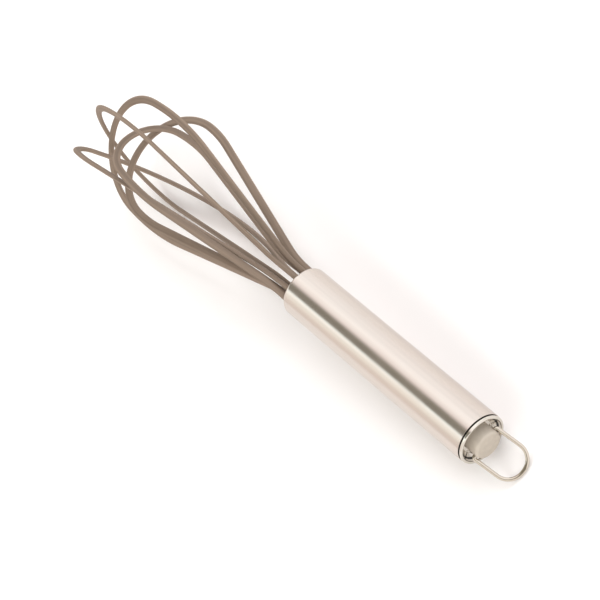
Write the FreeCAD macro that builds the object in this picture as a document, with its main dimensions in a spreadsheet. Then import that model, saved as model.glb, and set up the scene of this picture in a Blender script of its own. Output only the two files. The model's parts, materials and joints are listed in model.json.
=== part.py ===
import FreeCAD, Part
import math
import os

import Sketcher

os.makedirs("parts", exist_ok=True)
doc = FreeCAD.newDocument("balloon_whisk")
Vector = FreeCAD.Vector
Rotation = FreeCAD.Rotation
Placement = FreeCAD.Placement

# ---------------------------------------------------------------------------
# Driving dimensions, in millimetres and degrees.
#
# Everything is drawn in the handle's own frame. X runs along the handle from
# the rim of the end cap to the whisk, Z is up and the hinge of the hanging
# loop lies along Y. At the end the whole whisk is laid down on its rim and
# its two lowest loops.
# ---------------------------------------------------------------------------
DIMENSIONS = {
    # handle tube
    "handle_radius": 12.5,
    "handle_length": 125.0,
    "tube_wall": 0.8,
    "mouth_round": 2.0,
    "mouth_land": 0.01,
    # end cap
    "groove_width": 0.5,
    "rim_width": 1.5,
    "rim_setback": 0.15,
    "rim_round": 0.7,
    "rim_back_round": 0.6,
    "rim_inner_round": 0.5,
    "rim_land": 1.3,
    "dish_depth": 4.0,
    "dish_clearance": 1.3,
    "cap_wall": 0.8,
    "cap_skirt": 6.0,
    # button
    "button_radius": 6.9,
    "button_rise": 4.2,
    "button_round": 1.3,
    "stem_radius": 2.5,
    "stem_end": 0.8,
    "stem_clearance": 0.05,
    "clip_width": 2.5,
    "clip_thickness": 0.8,
    # hanging loop
    "loop_wire_radius": 0.95,
    "loop_bore_clearance": 0.05,
    "loop_side_clearance": 0.45,
    "loop_slide": 0.2,
    "hinge_setback": 1.3,
    "loop_length": 20.6,
    "loop_flat": 1.0,
    "eye_inside_round": 0.2,
    "hook_gap": 2.9,
    "loop_droop": 29.5,
    # wire loops
    "core_radius": 0.65,
    "sleeve_width": 4.0,
    "sleeve_thickness": 2.0,
    "leg_clearance": 0.6,
    "bend_radius": 60.0,
    "pivot_depth": 5.0,
    # plug and potting inside the mouth
    "plug_length": 12.0,
    "potting_length": 10.0,
    "core_tail": 8.0,
    # how the whisk lies
    "rest_tilt": 4.5,
    "rest_roll": -3.0,
}

sheet = doc.addObject("Spreadsheet::Sheet", "Dims")
for row, (alias, value) in enumerate(DIMENSIONS.items(), start=1):
    sheet.set(f"A{row}", alias)
    sheet.set(f"B{row}", str(value))
    sheet.setAlias(f"B{row}", alias)
doc.recompute()


def size(formula):
    """The value of a formula of sheet aliases, such as 'handle_radius - tube_wall'."""
    result = sheet.evalExpression(formula)
    return float(getattr(result, "Value", result))


def bound(formula):
    """The same formula written so that an object outside the sheet can be bound to it."""
    words = formula.replace("(", " ( ").replace(")", " ) ").split()
    return " ".join("Dims." + word if word in DIMENSIONS else word for word in words)


# ---------------------------------------------------------------------------
# Helpers
# ---------------------------------------------------------------------------
def origin_plane(body, role):
    """One of the body's own origin planes, by its role."""
    return next(item for item in body.Origin.OriginFeatures if item.Role == role)


def new_sketch(body, name, role):
    sketch = body.newObject("Sketcher::SketchObject", name)
    sketch.AttachmentSupport = (origin_plane(body, role), "")
    sketch.MapMode = "FlatFace"
    return sketch


def turned_outline(sketch, corners):
    """Closed outline of straight lines whose corners (x, radius) are bound to the sheet."""
    points = [Vector(size(x), size(radius), 0) for x, radius in corners]
    count = len(points)
    for index in range(count):
        sketch.addGeometry(Part.LineSegment(points[index], points[(index + 1) % count]), False)
    for index in range(count):
        following = (index + 1) % count
        sketch.addConstraint(Sketcher.Constraint("Coincident", index, 2, following, 1))
    for index, (x, radius) in enumerate(corners):
        for kind, formula in (("DistanceX", x), ("DistanceY", radius)):
            place = Sketcher.Constraint(kind, -1, 1, index, 1, size(formula))
            number = sketch.addConstraint(place)
            sketch.setExpression(f"Constraints[{number}]", bound(formula))


def turned_body(label, corners):
    """A PartDesign body turned about the handle's axis from one outline."""
    body = doc.addObject("PartDesign::Body", label)
    sketch = new_sketch(body, label + "_outline", "XY_Plane")
    turned_outline(sketch, corners)
    turn = body.newObject("PartDesign::Revolution", label + "_turned")
    turn.Profile = sketch
    turn.ReferenceAxis = (sketch, ["H_Axis"])
    turn.Angle = 360
    doc.recompute()
    return body


def circle_edges(shape, x, radius):
    """Names of the round edges that lie at x with the given radius."""
    names = []
    for number, edge in enumerate(shape.Edges, start=1):
        curve = edge.Curve
        if not isinstance(curve, Part.Circle):
            continue
        if abs(curve.Center.x - x) < 1e-4 and abs(curve.Radius - radius) < 1e-4:
            names.append(f"Edge{number}")
    return names


def round_edges(body, name, x, radius, round_formula):
    """Round the circular edge at (x, radius) of the body's last feature."""
    fillet = body.newObject("PartDesign::Fillet", name)
    base = body.Group[-2]
    fillet.Base = (base, circle_edges(base.Shape, size(x), size(radius)))
    fillet.setExpression("Radius", bound(round_formula))
    doc.recompute()
    return fillet


# ---------------------------------------------------------------------------
# Handle tube: a plain tube whose mouth is rolled in
# ---------------------------------------------------------------------------
BORE = "handle_radius - tube_wall"
TUBE_START = "rim_width + groove_width"
LIP_BORE = "handle_radius - mouth_round"


def make_handle_tube():
    body = turned_body("handle_tube", [
        (TUBE_START, "handle_radius"),
        ("handle_length", "handle_radius"),
        ("handle_length", LIP_BORE),
        ("handle_length - tube_wall", LIP_BORE),
        ("handle_length - tube_wall", BORE),
        (TUBE_START, BORE),
    ])
    round_edges(body, "mouth_outside", "handle_length", "handle_radius", "mouth_round - mouth_land")
    round_edges(body, "mouth_inside", "handle_length - tube_wall", BORE,
                "mouth_round - tube_wall - mouth_land")
    return body


# ---------------------------------------------------------------------------
# End cap: a beaded rim, a dish behind it and a skirt inside the tube
# ---------------------------------------------------------------------------
RIM_RADIUS = "handle_radius - rim_setback"
RIM_INNER = "handle_radius - rim_setback - rim_land"
FLOOR_BACK = "dish_depth + cap_wall"


def make_end_cap():
    body = turned_body("end_cap", [
        ("dish_depth", "stem_radius + stem_clearance"),
        ("dish_depth", "button_radius + dish_clearance"),
        ("rim_round", RIM_INNER),
        ("0", RIM_INNER),
        ("0", RIM_RADIUS),
        ("rim_width", RIM_RADIUS),
        ("rim_width", BORE),
        ("rim_width + cap_skirt", BORE),
        ("rim_width + cap_skirt", BORE + " - cap_wall"),
        (FLOOR_BACK, BORE + " - cap_wall"),
        (FLOOR_BACK, "stem_radius + stem_clearance"),
    ])
    round_edges(body, "rim_outside", "0", RIM_RADIUS, "rim_round")
    round_edges(body, "rim_behind", "rim_width", RIM_RADIUS, "rim_back_round")
    round_edges(body, "rim_inside", "0", RIM_INNER, "rim_inner_round")
    return body


# ---------------------------------------------------------------------------
# Button: a round boss on a stem, cross-drilled for the loop's two hooks
# ---------------------------------------------------------------------------
STEM_BACK = "dish_depth + cap_wall + clip_thickness + stem_end"


def make_cap_button():
    body = turned_body("cap_button", [
        ("0 - button_rise", "0"),
        ("0 - button_rise", "button_radius"),
        ("dish_depth", "button_radius"),
        ("dish_depth", "stem_radius"),
        (STEM_BACK, "stem_radius"),
        (STEM_BACK, "0"),
    ])
    round_edges(body, "button_edge", "0 - button_rise", "button_radius", "button_round")
    sketch = new_sketch(body, "hook_bore_outline", "XZ_Plane")
    hole_radius = "loop_wire_radius + loop_bore_clearance"
    centre = Vector(-size("hinge_setback"), 0, 0)
    sketch.addGeometry(Part.Circle(centre, Vector(0, 0, 1), size(hole_radius)), False)
    radius_at = sketch.addConstraint(Sketcher.Constraint("Radius", 0, size(hole_radius)))
    sketch.setExpression(f"Constraints[{radius_at}]", bound(hole_radius))
    sketch.addConstraint(Sketcher.Constraint("PointOnObject", 0, 3, -1))
    place_at = sketch.addConstraint(
        Sketcher.Constraint("DistanceX", 0, 3, -1, 1, size("hinge_setback")))
    sketch.setExpression(f"Constraints[{place_at}]", bound("hinge_setback"))
    bore = body.newObject("PartDesign::Pocket", "hook_bore")
    bore.Profile = sketch
    bore.Type = "ThroughAll"
    bore.Midplane = True
    doc.recompute()
    return body


def make_button_clip():
    return turned_body("button_clip", [
        (FLOOR_BACK, "stem_radius"),
        (FLOOR_BACK, "stem_radius + clip_width"),
        (FLOOR_BACK + " + clip_thickness", "stem_radius + clip_width"),
        (FLOOR_BACK + " + clip_thickness", "stem_radius"),
    ])


# ---------------------------------------------------------------------------
# Wires: paths of straight runs and tangent arcs, swept with a fixed section
# ---------------------------------------------------------------------------
class PlanarPath:
    """A path in the XY plane drawn like a bent wire: run straight, turn, run straight."""

    def __init__(self, start, heading):
        self.start = Placement(start, Rotation(Vector(0, 0, 1), heading))
        self.point = start
        self.heading = math.radians(heading)
        self.edges = []

    def ahead(self, angle):
        return Vector(math.cos(angle), math.sin(angle), 0)

    def run(self, length):
        end = self.point + self.ahead(self.heading) * length
        self.edges.append(Part.LineSegment(self.point, end).toShape())
        self.point = end

    def turn(self, radius, degrees):
        """Turn left for positive degrees, right for negative."""
        side = math.copysign(1.0, degrees)
        centre = self.point + self.ahead(self.heading + side * math.pi / 2) * radius
        sweep = math.radians(degrees)
        middle = centre + self.ahead(self.heading - side * math.pi / 2 + sweep / 2) * radius
        end = centre + self.ahead(self.heading - side * math.pi / 2 + sweep) * radius
        self.edges.append(Part.Arc(self.point, middle, end).toShape())
        self.heading += sweep
        self.point = end


def swept_wire(label, path, seat, radii):
    """Sweep a circle or an ellipse, bound to the sheet, along a planar path."""
    spine = doc.addObject("Part::Feature", label + "_path")
    spine.Shape = Part.Wire(path.edges)
    spine.Placement = seat
    kind = "Part::Circle" if len(radii) == 1 else "Part::Ellipse"
    profile = doc.addObject(kind, label + "_section")
    for name, formula in radii.items():
        profile.setExpression(name, bound(formula))
    # the section stands across the path with its long axis in the path's plane
    across = Rotation(Vector(0, 1, 0), Vector(0, 0, 1), Vector(1, 0, 0), "ZXY")
    profile.Placement = seat * path.start * Placement(Vector(), across)
    sweep = doc.addObject("Part::Sweep", label)
    sweep.Sections = [profile]
    sweep.Spine = (spine, [f"Edge{number + 1}" for number in range(len(path.edges))])
    sweep.Solid = True
    doc.recompute()
    return sweep


def make_hanging_loop():
    """A U of wire whose ends turn inwards and sit in the button's cross bore.

    It has slid a little along the bore, towards +Y.
    """
    half = size("button_radius + loop_side_clearance + loop_wire_radius")
    eye = size("loop_wire_radius + eye_inside_round")
    corner = half - size("loop_flat") / 2
    hook_end = size("hook_gap")
    leg = size("loop_length") - eye - corner
    path = PlanarPath(Vector(0, hook_end, 0), 90)
    path.run(half - eye - hook_end)
    path.turn(eye, 90)
    path.run(leg)
    path.turn(corner, 90)
    path.run(size("loop_flat"))
    path.turn(corner, 90)
    path.run(leg)
    path.turn(eye, 90)
    path.run(half - eye - hook_end)
    drooped = Placement(Vector(-size("hinge_setback"), size("loop_slide"), 0),
                        Rotation(Vector(0, 1, 0), -size("loop_droop")))
    return swept_wire("loop_wire", path, drooped, {"Radius": "loop_wire_radius"})


# Each loop is a flat closed bow: a straight leg, a gentle bend outwards, a
# straight flank, a shoulder, a crown, and the same back. The two sides of a
# used whisk differ a little, so the flank angles and shoulders come in pairs.
#
# plane: turn of the bow's plane about the handle's axis, from +Y towards +Z
# lean: tilt of the bow out of its plane, sway: tilt within its plane
# reach: how far beyond the mouth the legs stay straight
# flare: angle of each flank, shoulder_turn and shoulder_radius: each shoulder
# crown_radius: the bend at the tip
#
# The lengths belong to legs that stand on a circle of DRAWN_CIRCLE. They grow
# with that circle, which keeps the gaps between the loops.
LEG_CIRCLE = "handle_radius - mouth_round - leg_clearance - sleeve_width / 2"
DRAWN_CIRCLE = 7.9
LOOPS = {
    "a": dict(plane=113.1, lean=-0.4, sway=0.35, reach=13.1, flare=(13.8, 14.5),
              shoulder_turn=(37.3, 37.0), shoulder_radius=(67.0, 52.0), crown_radius=29.1),
    "b": dict(plane=72.0, lean=-4.5, sway=-4.3, reach=12.6, flare=(11.2, 20.4),
              shoulder_turn=(19.4, 72.1), shoulder_radius=(38.0, 103.0), crown_radius=7.8),
    "c": dict(plane=150.5, lean=0.35, sway=-0.2, reach=4.7, flare=(14.2, 14.3),
              shoulder_turn=(22.7, 21.6), shoulder_radius=(111.0, 110.0), crown_radius=29.8),
    "d": dict(plane=185.3, lean=0.4, sway=2.2, reach=8.2, flare=(13.2, 13.2),
              shoulder_turn=(15.2, 16.0), shoulder_radius=(61.0, 61.0), crown_radius=27.4),
    "e": dict(plane=35.0, lean=4.2, sway=4.2, reach=14.4, flare=(3.9, 13.6),
              shoulder_turn=(16.0, 20.8), shoulder_radius=(126.0, 68.0), crown_radius=18.7),
}


def closing_runs(half, bends):
    """Lengths of the two flanks that bring a path of bends back to its other leg.

    bends holds (radius, degrees) in order, with None where a flank goes.
    """
    heading = 0.0
    gap = Vector(0, 0, 0)
    flanks = []
    for bend in bends:
        if bend is None:
            flanks.append(Vector(math.cos(heading), math.sin(heading), 0))
            continue
        radius, degrees = bend
        sweep = math.radians(degrees)
        side = math.copysign(radius, degrees)
        gap += Vector(side * (math.sin(heading + sweep) - math.sin(heading)),
                      side * (math.cos(heading) - math.cos(heading + sweep)), 0)
        heading += sweep
    wanted = Vector(0, -2 * half, 0) - gap
    first, second = flanks
    cross = first.x * second.y - first.y * second.x
    return ((wanted.x * second.y - wanted.y * second.x) / cross,
            (first.x * wanted.y - first.y * wanted.x) / cross)


def loop_path(loop, tail):
    """The bow in its own plane, its legs starting `tail` behind the pivot."""
    half = size(LEG_CIRCLE)
    grown = half / DRAWN_CIRCLE
    bend = size("bend_radius") * grown
    flare = loop["flare"]
    turn = loop["shoulder_turn"]
    shoulder = [radius * grown for radius in loop["shoulder_radius"]]
    crown_turn = 180 + sum(flare) - sum(turn)
    bends = [(bend, flare[0]), None, (shoulder[0], -turn[0]),
             (loop["crown_radius"] * grown, -crown_turn),
             (shoulder[1], -turn[1]), None, (bend, flare[1])]
    flanks = list(closing_runs(half, bends))
    path = PlanarPath(Vector(-tail, half, 0), 0)
    straight = tail + size("pivot_depth") + loop["reach"] * grown
    path.run(straight)
    for item in bends:
        if item is None:
            path.run(flanks.pop(0))
        else:
            path.turn(*item)
    path.run(straight)
    return path


def loop_placement(loop):
    """Seats the bow's plane on the pivot, turned about the handle and then leaned."""
    pivot = Vector(size("handle_length - pivot_depth"), 0, 0)
    about_handle = Rotation(Vector(1, 0, 0), loop["plane"])
    leaned = Rotation(Vector(0, 1, 0), -loop["lean"])
    swayed = Rotation(Vector(0, 0, 1), loop["sway"])
    return Placement(pivot, about_handle * leaned * swayed)


def cut(label, base, tool):
    piece = doc.addObject("Part::Cut", label)
    piece.Base = base
    piece.Tool = tool
    doc.recompute()
    return piece


def disc(name, radius, start, length):
    """A cylinder along the handle's axis from `start`."""
    cylinder = doc.addObject("Part::Cylinder", name)
    cylinder.setExpression("Radius", bound(radius))
    cylinder.setExpression("Height", bound(length))
    cylinder.Placement.Rotation = Rotation(Vector(0, 1, 0), 90)
    cylinder.setExpression(".Placement.Base.x", bound(start))
    doc.recompute()
    return cylinder


# ---------------------------------------------------------------------------
# Build
# ---------------------------------------------------------------------------
nodes = {}
nodes["handle_tube"] = make_handle_tube()
nodes["end_cap"] = make_end_cap()
nodes["cap_button"] = make_cap_button()
nodes["button_clip"] = make_button_clip()
nodes["hanging_loop"] = make_hanging_loop()

# Each loop is swept three times: the wire itself, the outside of its sleeve,
# and a bore of the wire's size that is only used for cutting.
ROUND = {"Radius": "core_radius"}
OVAL = {"MajorRadius": "sleeve_width / 2", "MinorRadius": "sleeve_thickness / 2"}
plug_back = size("mouth_round + plug_length - pivot_depth")
legs = []
for letter, loop in LOOPS.items():
    seat = loop_placement(loop)
    core_path = loop_path(loop, plug_back + size("core_tail"))
    coat = swept_wire("coat_" + letter, loop_path(loop, plug_back), seat, OVAL)
    bore = swept_wire("bore_" + letter, core_path, seat, ROUND)
    nodes["wire_core_" + letter] = swept_wire("core_" + letter, core_path, seat, ROUND)
    nodes["silicone_sleeve_" + letter] = cut("sleeve_" + letter, coat, bore)
    legs += [coat, bore]

all_legs = doc.addObject("Part::Compound", "all_legs")
all_legs.Links = legs
plug_start = "handle_length - mouth_round - plug_length"
potting_start = plug_start + " - potting_length"
nodes["mouth_plug"] = cut("plug", disc("plug_blank", BORE, plug_start, "plug_length"), all_legs)
nodes["wire_potting"] = cut(
    "potting", disc("potting_blank", BORE, potting_start, "potting_length"), all_legs)

# ---------------------------------------------------------------------------
# Lay the whisk down: tilt and roll it, then stand its box on the floor with
# the middle of the box over the origin
# ---------------------------------------------------------------------------
doc.recompute()
laid = Placement(Vector(0, 0, 0),
                 Rotation(Vector(0, 1, 0), -size("rest_tilt")) *
                 Rotation(Vector(1, 0, 0), size("rest_roll")))
solids = {}
for name, source in nodes.items():
    shape = source.Shape.copy()
    shape.Placement = laid * shape.Placement
    solids[name] = shape
box = Part.makeCompound(list(solids.values())).optimalBoundingBox(False)
floor = Placement(Vector(-box.Center.x, -box.Center.y, -box.ZMin), Rotation())

for name, source in nodes.items():
    source.Label = name
    source.Placement = floor * laid * source.Placement

# ---------------------------------------------------------------------------
# Check and export
# ---------------------------------------------------------------------------
for item in doc.Objects:
    if "Invalid" in item.State or "Error" in item.State:
        raise RuntimeError(f"{item.Label} is in state {item.State}")
for name, source in nodes.items():
    shape = source.Shape
    if shape.isNull() or not shape.isValid() or not shape.Solids:
        raise RuntimeError(f"{name} has no valid solid")
    shape.exportStep(f"parts/{name}.step")
    print(name, len(shape.Solids), round(shape.Volume, 1))
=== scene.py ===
# %% [markdown]
# # A balloon whisk
#
# The imported model is the frame of this scene: it says where the handle lies, where the
# hanging loop hinges and how large everything is. This first cell loads it.

# %% Load the frame
import json
import math

import bpy
import numpy as np
from mathutils import Matrix, Vector


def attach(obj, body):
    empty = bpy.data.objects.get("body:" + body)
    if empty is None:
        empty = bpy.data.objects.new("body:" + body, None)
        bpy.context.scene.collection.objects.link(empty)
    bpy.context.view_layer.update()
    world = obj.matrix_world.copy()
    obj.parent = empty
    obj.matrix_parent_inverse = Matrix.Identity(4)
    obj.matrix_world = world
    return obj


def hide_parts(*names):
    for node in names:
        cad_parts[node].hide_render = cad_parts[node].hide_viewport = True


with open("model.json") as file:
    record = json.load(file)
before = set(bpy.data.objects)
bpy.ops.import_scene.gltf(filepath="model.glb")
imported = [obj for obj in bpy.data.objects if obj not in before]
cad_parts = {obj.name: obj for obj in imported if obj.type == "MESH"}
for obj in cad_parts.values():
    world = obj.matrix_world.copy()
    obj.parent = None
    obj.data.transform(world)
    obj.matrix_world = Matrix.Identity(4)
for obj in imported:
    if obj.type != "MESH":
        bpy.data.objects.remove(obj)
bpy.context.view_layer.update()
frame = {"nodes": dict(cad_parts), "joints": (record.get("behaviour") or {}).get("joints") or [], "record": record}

# %% [markdown]
# ## The handle's own axes
#
# The whisk doesn't lie level: it rests on the rim of its end cap and on two of its wire
# loops. Every piece is easier to draw along the handle, so three axes are read from the
# record. `along` is the handle's axis towards the wire loops, taken from the grip mount,
# `across` is the hinge of the hanging loop, and `over` is square to both. `placed` turns
# points drawn on those axes into points of the scene.

# %% Axes of the handle
MM = 0.001
HINGE_SETBACK = 1.3 * MM

grip = frame["record"]["mounts"][0]
swing = frame["joints"][0]
along = -np.array(grip["axis"], float)
across = np.array(swing["axis"], float)
over = np.cross(along, across)
axes = np.column_stack([along, across, over])
rear = np.array(swing["pos_m"], float) + along * HINGE_SETBACK


def placed(points):
    """Points (..., 3) on the handle's axes, carried to the scene.

    A point goes to rear + x along + y across + z over.
    """
    return rear + points @ axes.T


print("rear rim at", rear.round(4), "handle axis", along.round(4))

# %% [markdown]
# ## Camera
#
# A long lens from about a metre away keeps the handle's sides almost parallel. The camera
# looks steeply down from behind the handle and is rolled, so that the whisk crosses the
# picture from corner to corner. Its place and its two directions are given on the handle's
# axes. A camera looks along its own -Z, with +Y up in the picture.

# %% Camera
EYE = np.array([-0.4947, -0.1130, 0.8367])
LOOKS_ALONG = Vector(axes @ [0.5904, 0.1123, -0.7993]).normalized()
PICTURE_UP = Vector(axes @ [0.5210, -0.8093, 0.2711])

side = LOOKS_ALONG.cross(PICTURE_UP).normalized()
upward = side.cross(LOOKS_ALONG)
camera_data = bpy.data.cameras.new("camera")
camera_data.lens = 135.7
camera_data.sensor_width = 36.0
camera = bpy.data.objects.new("camera", camera_data)
camera.matrix_world = Matrix.Translation(Vector(placed(EYE))) @ Matrix(
    (side, upward, -LOOKS_ALONG)).transposed().to_4x4()
bpy.context.scene.collection.objects.link(camera)
bpy.context.scene.camera = camera
bpy.context.scene.view_settings.view_transform = "Standard"
print("camera at", camera.matrix_world.translation.to_tuple(3))

# %% [markdown]
# ## Building node trees in short lines
#
# A material or a group is a tree of nodes. `Tree` keeps the typing down: `add` makes a node
# and sets its plain values, `join` draws a link. A shared effect is made once as a node
# group, with named sockets made by `interface.new_socket`, and placed in each material.

# %% Node helpers
class Tree:
    """A node tree with short ways to add nodes and to join their sockets."""

    def __init__(self, tree):
        self.tree = tree

    def add(self, kind, values=None, **settings):
        node = self.tree.nodes.new(kind)
        for name, value in settings.items():
            setattr(node, name, value)
        for socket, value in (values or {}).items():
            node.inputs[socket].default_value = value
        return node

    def join(self, source, output, target, name):
        self.tree.links.new(source.outputs[output], target.inputs[name])
        return target


def new_group(name, inputs, outputs):
    """An empty node group: inputs and outputs are (name, socket kind, default) and (name, kind)."""
    group = bpy.data.node_groups.new(name, "ShaderNodeTree")
    for label, kind, default in inputs:
        socket = group.interface.new_socket(name=label, in_out="INPUT", socket_type=kind)
        if default is not None:
            socket.default_value = default
    for label, kind in outputs:
        group.interface.new_socket(name=label, in_out="OUTPUT", socket_type=kind)
    tree = Tree(group)
    return tree, tree.add("NodeGroupInput"), tree.add("NodeGroupOutput")


def new_material(name):
    """A material with a Principled shader: gives its tree, its shader and the material."""
    material = bpy.data.materials.new(name)
    material.use_nodes = True
    material.node_tree.nodes.clear()
    tree = Tree(material.node_tree)
    shader = tree.add("ShaderNodeBsdfPrincipled")
    tree.join(shader, "BSDF", tree.add("ShaderNodeOutputMaterial"), "Surface")
    return tree, shader, material


print("node helpers ready")

# %% [markdown]
# ## Studio
#
# Metal shows what is around it more than its own colour. This studio is a white tent with
# one dark slot over the handle: the slot is what draws the long dark band on the tube. The
# world is worked out from the direction looked in: the angle about the X axis from straight
# up, which is 0 overhead, negative on the light side and positive on the far side. A ramp
# turns that angle into brightness.

# %% World
TENT = [
    (-180.0, (1.10, 1.08, 1.07)),
    (-95.0, (1.18, 1.16, 1.15)),
    (-63.0, (1.32, 1.31, 1.32)),
    (-30.0, (1.52, 1.53, 1.55)),
    (-13.0, (1.42, 1.38, 1.37)),
    (-3.0, (1.20, 1.12, 1.11)),
    (5.0, (0.42, 0.39, 0.34)),
    (12.0, (0.33, 0.31, 0.26)),
    (31.0, (0.32, 0.31, 0.27)),
    (36.0, (1.62, 1.74, 1.74)),
    (43.0, (1.60, 1.66, 1.64)),
    (52.0, (1.27, 1.26, 1.18)),
    (75.0, (1.10, 1.00, 0.94)),
    (92.0, (1.05, 0.95, 0.91)),
    (180.0, (1.02, 0.95, 0.92)),
]

world = bpy.data.worlds.new("tent")
bpy.context.scene.world = world
world.use_nodes = True
world.node_tree.nodes.clear()
tent = Tree(world.node_tree)
looking = tent.add("ShaderNodeTexCoord")
parts = tent.join(looking, "Generated", tent.add("ShaderNodeSeparateXYZ"), "Vector")
angle = tent.add("ShaderNodeMath", operation="ARCTAN2")
tent.join(parts, "Y", angle, 0)
tent.join(parts, "Z", angle, 1)
share = tent.add("ShaderNodeMapRange", {"From Min": -math.pi, "From Max": math.pi})
tent.join(angle, "Value", share, "Value")
ramp = tent.add("ShaderNodeValToRGB")
stops = ramp.color_ramp.elements
while len(stops) < len(TENT):
    stops.new(0.5)
for stop, (degrees, colour) in zip(stops, TENT):
    stop.position = (degrees + 180.0) / 360.0
    stop.color = (*colour, 1.0)
tent.join(share, "Result", ramp, "Fac")
glow = tent.join(ramp, "Color", tent.add("ShaderNodeBackground", {"Strength": 1.0}), "Color")
tent.join(glow, "Background", tent.add("ShaderNodeOutputWorld"), "Surface")
print("tent of", len(TENT), "stops")

# %% [markdown]
# The floor is a plain matt white sheet. A square lamp stands on the light side, high up: it
# gives the soft shadows their direction. A wider one on the far side fills them. Neither is
# mirrored by the steel, which shows only the tent.

# %% Floor and lamps
SHEET_REACH = 3.0

floor_mesh = bpy.data.meshes.new("floor")
floor_mesh.from_pydata([(x * SHEET_REACH, y * SHEET_REACH, 0)
                        for x, y in ((-1, -1), (1, -1), (1, 1), (-1, 1))],
                       [], [(0, 1, 2, 3)])
floor = bpy.data.objects.new("floor", floor_mesh)
bpy.context.scene.collection.objects.link(floor)
_, paper_shader, paper_material = new_material("white_paper")
paper_shader.inputs["Base Color"].default_value = (0.93, 0.91, 0.905, 1.0)
paper_shader.inputs["Roughness"].default_value = 0.9
paper_shader.inputs["Specular IOR Level"].default_value = 0.1
floor_mesh.materials.append(paper_material)


def soft_lamp(name, place, width, watts, colour):
    """A square lamp at a place, facing the whisk, that no polished surface mirrors."""
    lamp_data = bpy.data.lights.new(name, "AREA")
    lamp_data.shape = "SQUARE"
    lamp_data.size = width
    lamp_data.energy = watts
    lamp_data.color = colour
    lamp = bpy.data.objects.new(name, lamp_data)
    lamp.location = place
    lamp.rotation_euler = (-Vector(place)).to_track_quat("-Z", "Y").to_euler()
    lamp.visible_glossy = False
    bpy.context.scene.collection.objects.link(lamp)


soft_lamp("key", (0.45, -0.80, 1.05), 0.75, 2.8, (1.0, 0.99, 0.98))
soft_lamp("fill", (-0.30, 1.10, 0.80), 1.60, 7.0, (1.0, 0.98, 0.97))
print("floor and lamps placed")

# %% [markdown]
# ## Shared effects
#
# Two effects are used by more than one finish. *Drawn grain* is a noise stretched a long
# way in one direction, which is what brushing or drawing leaves on metal. *Handling* is a
# soft cloudy noise that stands for the faint uneven sheen of a tool that is held and
# washed. Both put out values only, and each finish sets how strong they are.

# %% Shared effect: drawn grain
STREAK_SCALE = 0.22

grain, grain_in, grain_out = new_group(
    "drawn_grain",
    [("Vector", "NodeSocketVector", None), ("Fineness", "NodeSocketFloat", 900.0),
     ("Stretch", "NodeSocketFloat", 0.02)],
    [("Lines", "NodeSocketFloat"), ("Streaks", "NodeSocketFloat")])
squeeze = grain.add("ShaderNodeCombineXYZ", {"Y": 1.0, "Z": 1.0})
grain.join(grain_in, "Stretch", squeeze, "X")
pulled = grain.add("ShaderNodeVectorMath", operation="MULTIPLY")
grain.join(grain_in, "Vector", pulled, 0)
grain.join(squeeze, "Vector", pulled, 1)
fine = grain.add("ShaderNodeTexNoise", {"Detail": 3.0, "Roughness": 0.6})
grain.join(pulled, "Vector", fine, "Vector")
grain.join(grain_in, "Fineness", fine, "Scale")
coarser = grain.add("ShaderNodeMath", {1: STREAK_SCALE}, operation="MULTIPLY")
grain.join(grain_in, "Fineness", coarser, 0)
wide = grain.add("ShaderNodeTexNoise", {"Detail": 2.0, "Roughness": 0.5})
grain.join(pulled, "Vector", wide, "Vector")
grain.join(coarser, "Value", wide, "Scale")
grain.join(fine, "Fac", grain_out, "Lines")
grain.join(wide, "Fac", grain_out, "Streaks")
print("group", grain.tree.name)

# %% Shared effect: handling
handling, handling_in, handling_out = new_group(
    "handling",
    [("Vector", "NodeSocketVector", None), ("Size", "NodeSocketFloat", 60.0),
     ("Low", "NodeSocketFloat", 0.3), ("High", "NodeSocketFloat", 0.4)],
    [("Value", "NodeSocketFloat"), ("Cloud", "NodeSocketFloat")])
cloud = handling.add("ShaderNodeTexNoise", {"Detail": 4.0, "Roughness": 0.55})
handling.join(handling_in, "Vector", cloud, "Vector")
handling.join(handling_in, "Size", cloud, "Scale")
spread = handling.add("ShaderNodeMapRange", {"From Min": 0.3, "From Max": 0.7})
handling.join(cloud, "Fac", spread, "Value")
handling.join(handling_in, "Low", spread, "To Min")
handling.join(handling_in, "High", spread, "To Max")
handling.join(spread, "Result", handling_out, "Value")
handling.join(cloud, "Fac", handling_out, "Cloud")
print("group", handling.tree.name)

# %% [markdown]
# Every finish places these groups on its own coordinates, blends two colours by the cloud
# and scales the result by the streaks. A colour Mix node has a set of sockets for each kind
# of value, so its colour sockets are known by number.

# %% Using the shared effects
MIX_FIRST = 6
MIX_SECOND = 7
MIX_RESULT = 2


def blended_colour(tree, first, second, source, output):
    """A Mix node that blends two colours by another node's output."""
    tint = tree.add("ShaderNodeMix", {
        MIX_FIRST: (*first, 1.0), MIX_SECOND: (*second, 1.0)}, data_type="RGBA")
    return tree.join(source, output, tint, 0)


def scaled_colour(tree, tint, source, output, span, brightness):
    """The blended colour times a brightness range, as another node's output crosses a span."""
    level = tree.add("ShaderNodeMapRange", {
        "From Min": span[0], "From Max": span[1], "To Min": brightness[0], "To Max": brightness[1]})
    tree.join(source, output, level, "Value")
    colour = tree.add("ShaderNodeVectorMath", operation="SCALE")
    tree.join(tint, MIX_RESULT, colour, 0)
    return tree.join(level, "Result", colour, "Scale")


def place_group(tree, group, values):
    """The shared group as a node of this material, with its own values."""
    return tree.add("ShaderNodeGroup", values, node_tree=group.tree)


def handle_coordinates(tree):
    """Object coordinates turned so that the handle's axis is the line Y = Z = 0."""
    turn_back = Matrix(axes.tolist()).transposed()
    shift = -(axes.T @ rear)
    mapping = tree.add("ShaderNodeMapping", {
        "Location": Vector(shift), "Rotation": turn_back.to_euler("XYZ")})
    return tree.join(tree.add("ShaderNodeTexCoord"), "Object", mapping, "Vector")


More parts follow.
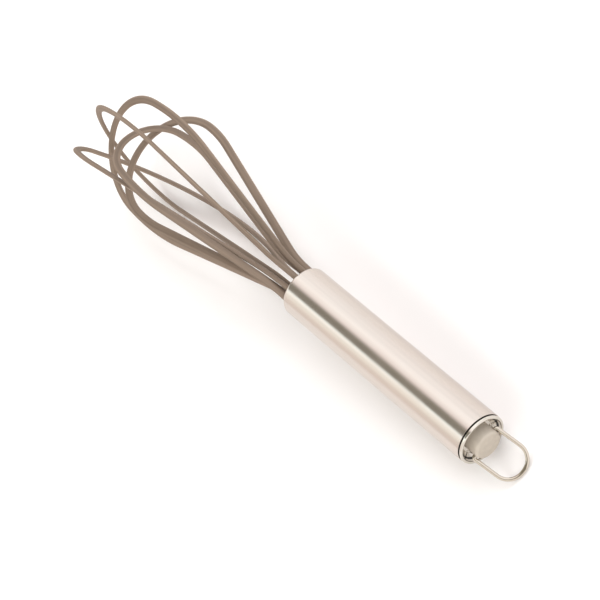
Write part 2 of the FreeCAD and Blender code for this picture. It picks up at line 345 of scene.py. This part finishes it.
print("effects ready to place")

# %% [markdown]
# ## Finishes
#
# **Brushed steel** for the tube and the button. The tube is brushed along its length, so a
# fine stretched grain roughens the reflection across it and leaves it clean along it.
# A slow cloud warms and cools the colour a little, as thin satin steel does. The button is
# blasted to a dull satin, so it hardly mirrors at all.

# %% Brushed steel
def brushed_steel(name, warm, cool, mirror, fineness, stretch, depth, roughness):
    """Steel with a grain along the handle. mirror: 1 for bare metal, near 0 for a dull face."""
    tree, shader, material = new_material(name)
    shader.inputs["Metallic"].default_value = mirror
    place = handle_coordinates(tree)
    lines = place_group(tree, grain, {"Fineness": fineness, "Stretch": stretch})
    tree.join(place, "Vector", lines, "Vector")
    worn = place_group(tree, handling, {"Size": 55.0, "Low": roughness[0], "High": roughness[1]})
    tree.join(place, "Vector", worn, "Vector")
    tint = blended_colour(tree, cool, warm, worn, "Cloud")
    colour = scaled_colour(tree, tint, lines, "Streaks", (0.3, 0.7), (0.94, 1.04))
    tree.join(colour, "Vector", shader, "Base Color")
    tree.join(worn, "Value", shader, "Roughness")
    dents = tree.add("ShaderNodeBump", {"Strength": 0.35, "Distance": depth})
    tree.join(lines, "Lines", dents, "Height")
    tree.join(dents, "Normal", shader, "Normal")
    return material


handle_steel = brushed_steel(
    "brushed_handle_steel", (0.65, 0.57, 0.515), (0.63, 0.58, 0.53),
    mirror=1.0, fineness=1600.0, stretch=0.012, depth=0.006 * MM, roughness=(0.17, 0.24))
button_steel = brushed_steel(
    "satin_button_steel", (0.535, 0.47, 0.39), (0.515, 0.46, 0.39),
    mirror=0.1, fineness=1800.0, stretch=0.6, depth=0.002 * MM, roughness=(0.44, 0.52))
print("brushed finishes made")

# %% [markdown]
# ** Polished steel** for the end cap and the bent wire of the hanging loop: the same metal,
# much smoother. Drawn wire keeps faint scratches, which the grain group gives as small
# dents. The cap gets painted shade in the narrow groove where its bead meets the tube: the
# steel's colour is scaled down between two distances along the handle, a dark stretch that
# stands in for the shadow in the gap.

# %% Polished steel
def painted_gap_shade(tree, place, start, end):
    """A painted shade factor: 1, but nearly 0 between two distances along the handle."""
    apart = tree.join(place, "Vector", tree.add("ShaderNodeSeparateXYZ"), "Vector")
    near = tree.add("ShaderNodeMath", {1: (start + end) / 2}, operation="SUBTRACT")
    tree.join(apart, "X", near, 0)
    away = tree.join(near, "Value", tree.add("ShaderNodeMath", operation="ABSOLUTE"), 0)
    width = end - start
    unshaded = tree.add("ShaderNodeMapRange", {
        "From Min": 0.4 * width, "From Max": 0.5 * width, "To Min": 0.08})
    return tree.join(away, "Value", unshaded, "Value")


def polished_steel(name, colour, roughness, gap=None):
    """Smooth steel. gap: two distances along the handle between which painted shade darkens it."""
    tree, shader, material = new_material(name)
    shader.inputs["Metallic"].default_value = 1.0
    shader.inputs["Base Color"].default_value = (*colour, 1.0)
    worn = place_group(tree, handling, {"Size": 240.0, "Low": roughness[0], "High": roughness[1]})
    place = handle_coordinates(tree)
    tree.join(place, "Vector", worn, "Vector")
    tree.join(worn, "Value", shader, "Roughness")
    scratches = place_group(tree, grain, {"Fineness": 2500.0, "Stretch": 0.25})
    tree.join(place, "Vector", scratches, "Vector")
    dents = tree.add("ShaderNodeBump", {"Strength": 0.12, "Distance": 0.004 * MM})
    tree.join(scratches, "Lines", dents, "Height")
    tree.join(dents, "Normal", shader, "Normal")
    # Painted shade in the groove: the colour is scaled down between the two distances.
    if gap:
        unshaded = painted_gap_shade(tree, place, *gap)
        shaded_colour = tree.add("ShaderNodeVectorMath", {0: colour}, operation="SCALE")
        tree.join(unshaded, "Result", shaded_colour, "Scale")
        tree.join(shaded_colour, "Vector", shader, "Base Color")
    return material


# Where the groove's painted shade lies along the handle, in metres.
GAP_SHADE = (1.25 * MM, 2.15 * MM)
cap_steel = polished_steel("polished_cap_steel", (0.66, 0.62, 0.56), (0.06, 0.11), GAP_SHADE)
loop_steel = polished_steel("polished_loop_steel", (0.60, 0.54, 0.46), (0.04, 0.08))
core_steel = polished_steel("spring_wire_steel", (0.60, 0.59, 0.57), (0.25, 0.35))
print("polished finishes made")

# %% [markdown]
# **Silicone** is matt. Its colour is a grey brown with a faint cloudiness, with faint
# streaks along each wire where it flowed in the mould, and its skin has a very fine
# texture. The streaks need a UV map that runs along the wire, and a piece without one gets
# an even colour. The plug is a darker rubber with a little dusty sheen, and the resin is
# smoother.

# %% Silicone, plug rubber and resin
def rubber(name, dark, light, roughness, sheen, pores):
    """A matt finish between two colours. pores: how fine the texture of its skin is."""
    tree, shader, material = new_material(name)
    shader.inputs["Specular IOR Level"].default_value = 0.22
    shader.inputs["Sheen Weight"].default_value = sheen
    shader.inputs["Sheen Roughness"].default_value = 0.45
    shader.inputs["Sheen Tint"].default_value = (1.0, 0.93, 0.90, 1.0)
    where = tree.add("ShaderNodeTexCoord")
    worn = place_group(tree, handling, {"Size": 70.0, "Low": roughness[0], "High": roughness[1]})
    tree.join(where, "Object", worn, "Vector")
    tree.join(worn, "Value", shader, "Roughness")
    flow = place_group(tree, grain, {"Fineness": 2800.0, "Stretch": 0.012})
    tree.join(where, "UV", flow, "Vector")
    tint = blended_colour(tree, dark, light, worn, "Cloud")
    colour = scaled_colour(tree, tint, flow, "Streaks", (0.32, 0.68), (0.78, 1.20))
    tree.join(colour, "Vector", shader, "Base Color")
    skin_noise = tree.add("ShaderNodeTexNoise", {"Scale": pores, "Detail": 2.0})
    tree.join(where, "Object", skin_noise, "Vector")
    dents = tree.add("ShaderNodeBump", {"Strength": 0.25, "Distance": 0.04 * MM})
    tree.join(skin_noise, "Fac", dents, "Height")
    tree.join(dents, "Normal", shader, "Normal")
    return material


silicone = rubber("taupe_silicone", (0.205, 0.152, 0.114), (0.270, 0.205, 0.157),
                  roughness=(0.55, 0.68), sheen=0.0, pores=2600.0)
plug_rubber = rubber("dark_plug_rubber", (0.10, 0.080, 0.065), (0.14, 0.11, 0.09),
                     roughness=(0.6, 0.75), sheen=0.03, pores=1800.0)
resin = rubber("cast_resin", (0.42, 0.37, 0.28), (0.50, 0.45, 0.36),
               roughness=(0.30, 0.45), sheen=0.0, pores=900.0)
print("silicone, rubber and resin made")

# %% [markdown]
# ## Surfaces from rings
#
# Every new piece is a stack of rings: a grid of points with one row for each ring. `skin`
# joins each ring to the next with four-sided faces. The last ring either meets the first,
# as on a tube with a wall, or both ends get a flat lid. The faces of a closed surface point
# outwards when its volume, summed over its triangles, is positive, and `skin` turns them
# round when it isn't.

# %% Skin over rings
def signed_volume(points, quads):
    """A sixth of the sum of a . (b x c) over the two triangles of each face."""
    a, b, c, d = (points[quads[:, k]] for k in range(4))
    first = np.einsum("ij,ij->i", a, np.cross(b, c))
    second = np.einsum("ij,ij->i", a, np.cross(c, d))
    return (first.sum() + second.sum()) / 6.0


def unrolled(run, columns, girth):
    """UV corners (faces, 4, 2) in metres: U along the rings, V round them."""
    row = np.arange(len(run) - 1)[:, None, None] + [0, 0, 1, 1]
    column = np.arange(columns)[None, :, None] + [0, 1, 1, 0]
    return np.stack(np.broadcast_arrays(run[row], column * girth / columns), -1).reshape(-1, 4, 2)


def skin(name, rings, material, joined=False, girth=None):
    """A closed mesh over rings (rows, columns, 3). joined: the last ring meets the first.

    A girth gives it a UV map that is unrolled lengthwise.
    """
    rows, columns = rings.shape[:2]
    points = rings.reshape(-1, 3)
    number = np.arange(rows * columns).reshape(rows, columns)
    lower = number if joined else number[:-1]
    upper = np.roll(number, -1, 0) if joined else number[1:]
    quads = np.stack([lower, np.roll(lower, -1, 1), np.roll(upper, -1, 1), upper], 2)
    quads = quads.reshape(-1, 4)
    middle = points.mean(0)
    inside_out = signed_volume(points - middle, quads) < 0
    if inside_out:
        quads = quads[:, ::-1]
        lids = [number[0], number[-1][::-1]]
    else:
        lids = [number[0][::-1], number[-1]]
    faces = quads.tolist() + ([] if joined else [lid.tolist() for lid in lids])
    mesh = bpy.data.meshes.new(name)
    mesh.from_pydata(points.tolist(), [], faces)
    mesh.polygons.foreach_set("use_smooth", np.ones(len(mesh.polygons), bool))
    mesh.materials.append(material)
    if girth:
        steps = np.linalg.norm(np.diff(rings.mean(1), axis=0), axis=1)
        corners = unrolled(np.concatenate([[0], np.cumsum(steps)]), columns, girth)
        spots = np.zeros((len(mesh.loops), 2))
        spots[:4 * len(corners)] = (corners[:, ::-1] if inside_out else corners).reshape(-1, 2)
        mesh.uv_layers.new(name="lengthwise").data.foreach_set("uv", spots.ravel())
    mesh.validate()
    piece = bpy.data.objects.new(name, mesh)
    bpy.context.scene.collection.objects.link(piece)
    print(name, len(mesh.polygons), "faces")
    return piece


# %% [markdown]
# ## Turned pieces
#
# The tube, the end cap and the button are all round about the handle's axis, as if they had
# been turned on a lathe. Each is drawn as a half outline of corners: distance along the
# handle, distance from its axis and rounding, in millimetres. `softened` replaces a corner
# by an arc, and `turned` carries the outline round: y = r cos t, z = r sin t.

# %% Lathe
ROUND_STEPS = 8
HOLD = 0.03 * MM
LONGEST_FACE = 4 * MM


def softened(corners, closed):
    """The outline with each corner (x, r, radius) replaced by an arc tangent to its sides.

    The arc starts and ends `radius / tan(half the corner's angle)` from the corner. A point
    is held just beyond each end, so that a flat side is still shaded flat.
    """
    table = np.array(corners, float) * MM
    spots = table[:, :2]
    outline = []
    for index, (x, r, radius) in enumerate(table):
        last = not closed and index in (0, len(table) - 1)
        if radius == 0 or last:
            outline.append([[x, r]])
            continue
        back = spots[index - 1] - spots[index]
        ahead = spots[(index + 1) % len(spots)] - spots[index]
        back /= np.linalg.norm(back)
        ahead /= np.linalg.norm(ahead)
        half_angle = 0.5 * math.acos(float(np.clip(back @ ahead, -1, 1)))
        reach = radius / math.tan(half_angle)
        inwards = (back + ahead) / np.linalg.norm(back + ahead)
        centre = spots[index] + inwards * radius / math.sin(half_angle)
        start = spots[index] + back * reach - centre
        finish = spots[index] + ahead * reach - centre
        turn = math.acos(float(np.clip(start @ finish / radius ** 2, -1, 1)))
        share = np.linspace(0, 1, ROUND_STEPS)[:, None]
        swung = np.sin((1 - share) * turn) * start + np.sin(share * turn) * finish
        outline += [[spots[index] + back * (reach + HOLD)],
                    centre + swung / math.sin(turn),
                    [spots[index] + ahead * (reach + HOLD)]]
    return np.concatenate(outline)


def spaced(outline, longest):
    """The same outline with long straight stretches divided, so that faces stay compact."""
    steps = np.linalg.norm(np.diff(outline, axis=0), axis=1)
    counts = np.maximum(1, np.ceil(steps / longest).astype(int))
    run = np.concatenate([[0], np.cumsum(steps)])
    stations = np.concatenate([np.linspace(run[i], run[i + 1], n, endpoint=False)
                               for i, n in enumerate(counts)] + [run[-1:]])
    return np.column_stack([np.interp(stations, run, outline[:, k]) for k in (0, 1)])


def turned(name, corners, material, closed, around=192):
    """A round piece from its half outline. closed: the outline comes back to its start."""
    outline = spaced(softened(corners, closed), LONGEST_FACE)
    turn = np.linspace(0, 2 * math.pi, around, endpoint=False)
    rings = np.empty((len(outline), around, 3))
    rings[..., 0] = outline[:, :1]
    rings[..., 1] = outline[:, 1:] * np.cos(turn)
    rings[..., 2] = outline[:, 1:] * np.sin(turn)
    return skin(name, placed(rings), material, joined=closed)


# %% [markdown]
# ### Handle
#
# A thin tube, rolled in at the mouth so that no edge is left to the fingers. It starts a
# little in front of the cap's bead, which leaves the groove between them. The inside is
# drawn too, because the mouth shows its lip round the plug.

# %% Handle
HANDLE_RADIUS = 12.5
HANDLE_LENGTH = 125.0
TUBE_WALL = 0.8
MOUTH_ROUND = 2.0
LIP_ROUND = 0.25
LIP_SHARE = 1.4 * LIP_ROUND
TUBE_START = 2.0
CUT_ROUND = 0.12

bore = HANDLE_RADIUS - TUBE_WALL
lip = HANDLE_RADIUS - MOUTH_ROUND
handle = turned("handle", [
    (TUBE_START, HANDLE_RADIUS, CUT_ROUND),
    (HANDLE_LENGTH, HANDLE_RADIUS, MOUTH_ROUND - LIP_SHARE),
    (HANDLE_LENGTH, lip, LIP_ROUND),
    (HANDLE_LENGTH - TUBE_WALL, lip, LIP_ROUND),
    (HANDLE_LENGTH - TUBE_WALL, bore, MOUTH_ROUND - TUBE_WALL - LIP_SHARE),
    (TUBE_START, bore, CUT_ROUND),
], handle_steel, closed=True)
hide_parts("handle_tube")
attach(handle, "whisk")

# %% [markdown]
# ### End cap
#
# A pressing with a rounded bead that stands just inside the tube's outline, and a conical
# dish that leads the eye down to the button. A fine groove between the bead and the tube
# shows where the cap was pushed in.

# %% End cap
RIM_RADIUS = HANDLE_RADIUS - 0.15
RIM_INNER = RIM_RADIUS - 1.3
RIM_WIDTH = 1.5
DISH_TOP = 0.7
DISH_DEPTH = 4.0
CAP_WALL = 0.8
SKIRT_END = RIM_WIDTH + 6.0
BUTTON_RADIUS = 6.9
DISH_FLOOR_RADIUS = BUTTON_RADIUS + 1.3
STEM_RADIUS = 2.5
STEM_HOLE = STEM_RADIUS + 0.05

cap_inside = bore - CAP_WALL
end_cap = turned("cap", [
    (DISH_DEPTH, STEM_HOLE, 0.0),
    (DISH_DEPTH, DISH_FLOOR_RADIUS, 0.5),
    (DISH_TOP, RIM_INNER, 0.3),
    (0.0, RIM_INNER, 0.45),
    (0.0, RIM_RADIUS, 0.68),
    (RIM_WIDTH, RIM_RADIUS, 0.58),
    (RIM_WIDTH, bore, 0.05),
    (SKIRT_END, bore, 0.2),
    (SKIRT_END, cap_inside, 0.2),
    (DISH_DEPTH + CAP_WALL, cap_inside, 0.3),
    (DISH_DEPTH + CAP_WALL, STEM_HOLE, 0.0),
], cap_steel, closed=True)
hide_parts("end_cap")
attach(end_cap, "whisk")

# %% [markdown]
# ### Button
#
# A solid boss with a flat satin face and a rounded edge, on a stem that goes through the
# cap. The hooks of the hanging loop enter its sides. Distances behind the rim are negative.

# %% Button
FACE_PLACE = -4.2
FACE_ROUND = 1.3
STEM_END = 6.4
LID_RADIUS = 0.6

button = turned("button", [
    (FACE_PLACE, LID_RADIUS, 0.0),
    (FACE_PLACE, BUTTON_RADIUS * 0.5, 0.0),
    (FACE_PLACE, BUTTON_RADIUS, FACE_ROUND),
    (DISH_DEPTH, BUTTON_RADIUS, 0.3),
    (DISH_DEPTH, STEM_RADIUS, 0.0),
    (STEM_END, STEM_RADIUS, 0.3),
    (STEM_END, LID_RADIUS, 0.0),
], button_steel, closed=False)
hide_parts("cap_button")
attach(button, "whisk")

# %% [markdown]
# ## Bent wire
#
# A wire bender knows only two moves: feed straight, and bend round a former. `BentWire`
# keeps a list of those moves. A straight move of length s adds points p + s * heading. A
# bend of radius R through an angle a adds points on a circle: with c = p + R * left, a
# point is c + R * (sin, -cos) of the heading. Each move is sampled as one whole array.

# %% Wire paths
class BentWire:
    """A flat wire path: points, and at each point the direction to its left in the plane."""

    def __init__(self, start, heading, spacing):
        self.place = np.array(start, float)
        self.heading = math.radians(heading)
        self.spacing = spacing
        self.points = [self.place[None]]
        self.angles = [np.array([self.heading])]

    def run(self, length):
        count = max(2, int(length / self.spacing))
        way = np.array([math.cos(self.heading), math.sin(self.heading)])
        steps = np.linspace(0, length, count + 1)[1:, None]
        self.points.append(self.place + steps * way)
        self.angles.append(np.full(count, self.heading))
        self.place = self.place + length * way

    def turn(self, radius, degrees):
        """Left for positive degrees, right for negative."""
        bend = math.radians(degrees)
        side = math.copysign(radius, degrees)
        count = max(6, int(abs(bend) * radius / self.spacing))
        heads = self.heading + np.linspace(0, bend, count + 1)[1:]
        centre = self.place + side * np.array([-math.sin(self.heading), math.cos(self.heading)])
        self.points.append(centre + side * np.column_stack([np.sin(heads), -np.cos(heads)]))
        self.angles.append(heads)
        self.place = self.points[-1][-1]
        self.heading = heads[-1]

    def drawn(self):
        """Points (n, 3) and the left direction (n, 3), with Z = 0."""
        flat = np.concatenate(self.points)
        heads = np.concatenate(self.angles)
        none = np.zeros(len(heads))
        return (np.column_stack([flat, none]),
                np.column_stack([-np.sin(heads), np.cos(heads), none]))


def turn_about(axis, degrees):
    """Rotation matrix about X, Y or Z."""
    return np.array(Matrix.Rotation(math.radians(degrees), 3, axis))


# %% [markdown]
# ### Hanging loop
#
# One piece of round wire, bent to a U. Its ends turn inwards and hook into the button, so
# the loop swings about them. It has slid a little to one side, and it hangs back from the
# hinge until its end nearly meets the table. A ring of the wire is
# centre + r (cos t left + sin t up).

# %% Hanging loop
WIRE_RADIUS = 0.95
SIDE_CLEARANCE = 0.45
LOOP_HALF = BUTTON_RADIUS + SIDE_CLEARANCE + WIRE_RADIUS
EYE_ROUND = WIRE_RADIUS + 0.2
LOOP_LENGTH = 20.6
LOOP_FLAT = 1.0
LOOP_CORNER = LOOP_HALF - LOOP_FLAT / 2
HOOK_GAP = 2.9
DROOP = 29.5
SLIDE = 0.2
HINGE_PLACE = np.array([-HINGE_SETBACK / MM, SLIDE, 0.0])


def hanging_wire():
    wire = BentWire((0.0, HOOK_GAP), 90, 0.35)
    leg = LOOP_LENGTH - EYE_ROUND - LOOP_CORNER
    hook = LOOP_HALF - EYE_ROUND - HOOK_GAP
    wire.run(hook)
    wire.turn(EYE_ROUND, 90)
    wire.run(leg)
    wire.turn(LOOP_CORNER, 90)
    wire.run(LOOP_FLAT)
    wire.turn(LOOP_CORNER, 90)
    wire.run(leg)
    wire.turn(EYE_ROUND, 90)
    wire.run(hook)
    return wire.drawn()


def round_wire(name, centres, left, up, radius, material, around=32):
    turn = np.linspace(0, 2 * math.pi, around, endpoint=False)
    rings = centres[:, None] + radius * (
        np.cos(turn)[None, :, None] * left[:, None] + np.sin(turn)[None, :, None] * up)
    return skin(name, rings, material)


droop = turn_about("Y", -DROOP)
centres, left = hanging_wire()
centres = placed((centres @ droop.T + HINGE_PLACE) * MM)
hanging_loop = round_wire("loop", centres, left @ droop.T @ axes.T,
                          axes @ droop @ [0, 0, 1], WIRE_RADIUS * MM, loop_steel)
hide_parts("hanging_loop")
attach(hanging_loop, "loop")

# %% [markdown]
# ## Wire loops
#
# Each of the five loops is a spring wire in a soft silicone sleeve, bent to a flat bow: a
# straight leg out of the mouth, a gentle bend outwards, a straight flank, a shoulder, a
# crown, and the same back again. Nothing about a used whisk is quite even, so the two
# flanks and shoulders of a bow differ. A bow is turned about the handle's axis to its own
# plane, and leans and sways a few degrees about a point just inside the mouth.

# %% Bows
LEG_CIRCLE = 7.9
BEND_RADIUS = 60.0
PIVOT_DEPTH = 5.0
LEG_TAIL = 9.0
BOWS = {
    "a": dict(plane=113.1, lean=-0.4, sway=0.35, reach=13.1, flare=(13.8, 14.5),
              shoulder_turn=(37.3, 37.0), shoulder_radius=(67.0, 52.0), crown_radius=29.1),
    "b": dict(plane=72.0, lean=-4.5, sway=-4.3, reach=12.6, flare=(11.2, 20.4),
              shoulder_turn=(19.4, 72.1), shoulder_radius=(38.0, 103.0), crown_radius=7.8),
    "c": dict(plane=150.5, lean=0.35, sway=-0.2, reach=4.7, flare=(14.2, 14.3),
              shoulder_turn=(22.7, 21.6), shoulder_radius=(111.0, 110.0), crown_radius=29.8),
    "d": dict(plane=185.3, lean=0.4, sway=2.2, reach=8.2, flare=(13.2, 13.2),
              shoulder_turn=(15.2, 16.0), shoulder_radius=(61.0, 61.0), crown_radius=27.4),
    "e": dict(plane=35.0, lean=4.2, sway=4.2, reach=14.4, flare=(3.9, 13.6),
              shoulder_turn=(16.0, 20.8), shoulder_radius=(126.0, 68.0), crown_radius=18.7),
}


def flank_lengths(moves):
    """The two straight flanks that bring the bends back to the other leg.

    Every bend moves the wire by R (sin, -cos) of its heading, from start to end. What is
    left over must be made up by the two flanks, which is two equations in two lengths.
    """
    heading = 0.0
    shift = np.zeros(2)
    ways = []
    for radius, degrees in moves:
        if radius is None:
            ways.append([math.cos(heading), math.sin(heading)])
            continue
        bend = math.radians(degrees)
        side = math.copysign(radius, degrees)
        shift += side * np.array([math.sin(heading + bend) - math.sin(heading),
                                  math.cos(heading) - math.cos(heading + bend)])
        heading += bend
    return np.linalg.solve(np.array(ways).T, np.array([0, -2 * LEG_CIRCLE]) - shift)


def bow_wire(bow):
    flare, turn, shoulder = bow["flare"], bow["shoulder_turn"], bow["shoulder_radius"]
    crown = 180 + sum(flare) - sum(turn)
    flank = (None, 0.0)
    moves = [(BEND_RADIUS, flare[0]), flank, (shoulder[0], -turn[0]),
             (bow["crown_radius"], -crown),
             (shoulder[1], -turn[1]), flank, (BEND_RADIUS, flare[1])]
    lengths = list(flank_lengths(moves))
    wire = BentWire((-LEG_TAIL, LEG_CIRCLE), 0, 0.9)
    straight = LEG_TAIL + PIVOT_DEPTH + bow["reach"]
    wire.run(straight)
    for radius, degrees in moves:
        if radius is None:
            wire.run(lengths.pop(0))
        else:
            wire.turn(radius, degrees)
    wire.run(straight)
    return wire.drawn()


# %% [markdown]
# The sleeve is a flattened oval: a ring is w cos t to the side and h sin t up, each raised
# to a power a little under one, which squares the oval off slightly. A mould leaves a fine
# ridge where its halves met, on the two narrow edges: a small bump in t. Soft silicone also
# turns a little about its wire, so each bow has a few given twist angles along its
# length, joined smoothly.

# %% Sleeves
SLEEVE_HALF_WIDTH = 2.0
SLEEVE_HALF_DEPTH = 1.0
SLEEVE_GIRTH = 9.7
RIDGE_HEIGHT = 0.05
RIDGE_SPREAD = 0.12
SQUARED = 0.9
TWIST = {
    "a": (0, 7, -4, 0, 3, -6, 0),
    "b": (0, 5, 0, 0, 0, -4, 0),
    "c": (0, -6, 5, 0, -5, 6, 0),
    "d": (0, 8, 6, 0, -8, -5, 0),
    "e": (0, -5, 0, 0, 0, 4, 0),
}


def eased(values, share):
    """Values at even stations, joined by half cosine waves, read at each share from 0 to 1."""
    values = np.array(values, float)
    spot = share * (len(values) - 1)
    cell = np.minimum(spot.astype(int), len(values) - 2)
    blend = 0.5 - 0.5 * np.cos(math.pi * (spot - cell))
    return values[cell] * (1 - blend) + values[cell + 1] * blend


def sleeve(letter, bow, around=40):
    centres, left = bow_wire(bow)
    steps = np.linalg.norm(np.diff(centres, axis=0), axis=1)
    share = np.concatenate([[0], np.cumsum(steps)]) / steps.sum()
    twist = np.radians(eased(TWIST[letter], share))[:, None, None]
    up = np.array([0.0, 0.0, 1.0])
    wide = np.cos(twist) * left[:, None] + np.sin(twist) * up
    deep = np.cos(twist) * up - np.sin(twist) * left[:, None]
    turn = np.linspace(0, 2 * math.pi, around, endpoint=False)
    cosine, sine = np.cos(turn), np.sin(turn)
    ridge = RIDGE_HEIGHT * np.exp(-((np.abs(sine)) / RIDGE_SPREAD) ** 2)
    oval = np.abs(cosine) ** SQUARED * (SLEEVE_HALF_WIDTH - RIDGE_HEIGHT)
    out_wide = np.sign(cosine) * (oval + ridge)
    out_deep = np.sign(sine) * np.abs(sine) ** SQUARED * SLEEVE_HALF_DEPTH
    rings = centres[:, None] + out_wide[None, :, None] * wide + out_deep[None, :, None] * deep
    leant = turn_about("Y", -bow["lean"]) @ turn_about("Z", bow["sway"])
    seat = turn_about("X", bow["plane"]) @ leant
    rings = rings @ seat.T + [HANDLE_LENGTH - PIVOT_DEPTH, 0, 0]
    piece = skin("sleeve_" + letter, placed(rings * MM), silicone, girth=SLEEVE_GIRTH * MM)
    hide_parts("silicone_sleeve_" + letter)
    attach(piece, "whisk")


for letter, bow in BOWS.items():
    sleeve(letter, bow)

# %% [markdown]
# ## Pieces kept from the frame
#
# The plug, the resin, the clip and the five spring wires are right as they are, so they
# only get their finishes.

# %% Finishes for kept pieces
KEPT = {
    "mouth_plug": plug_rubber,
    "wire_potting": resin,
    "button_clip": cap_steel,
    **{"wire_core_" + letter: core_steel for letter in BOWS},
}
for node, material in KEPT.items():
    mesh = frame["nodes"][node].data
    mesh.materials.clear()
    mesh.materials.append(material)
print("kept", ", ".join(KEPT))
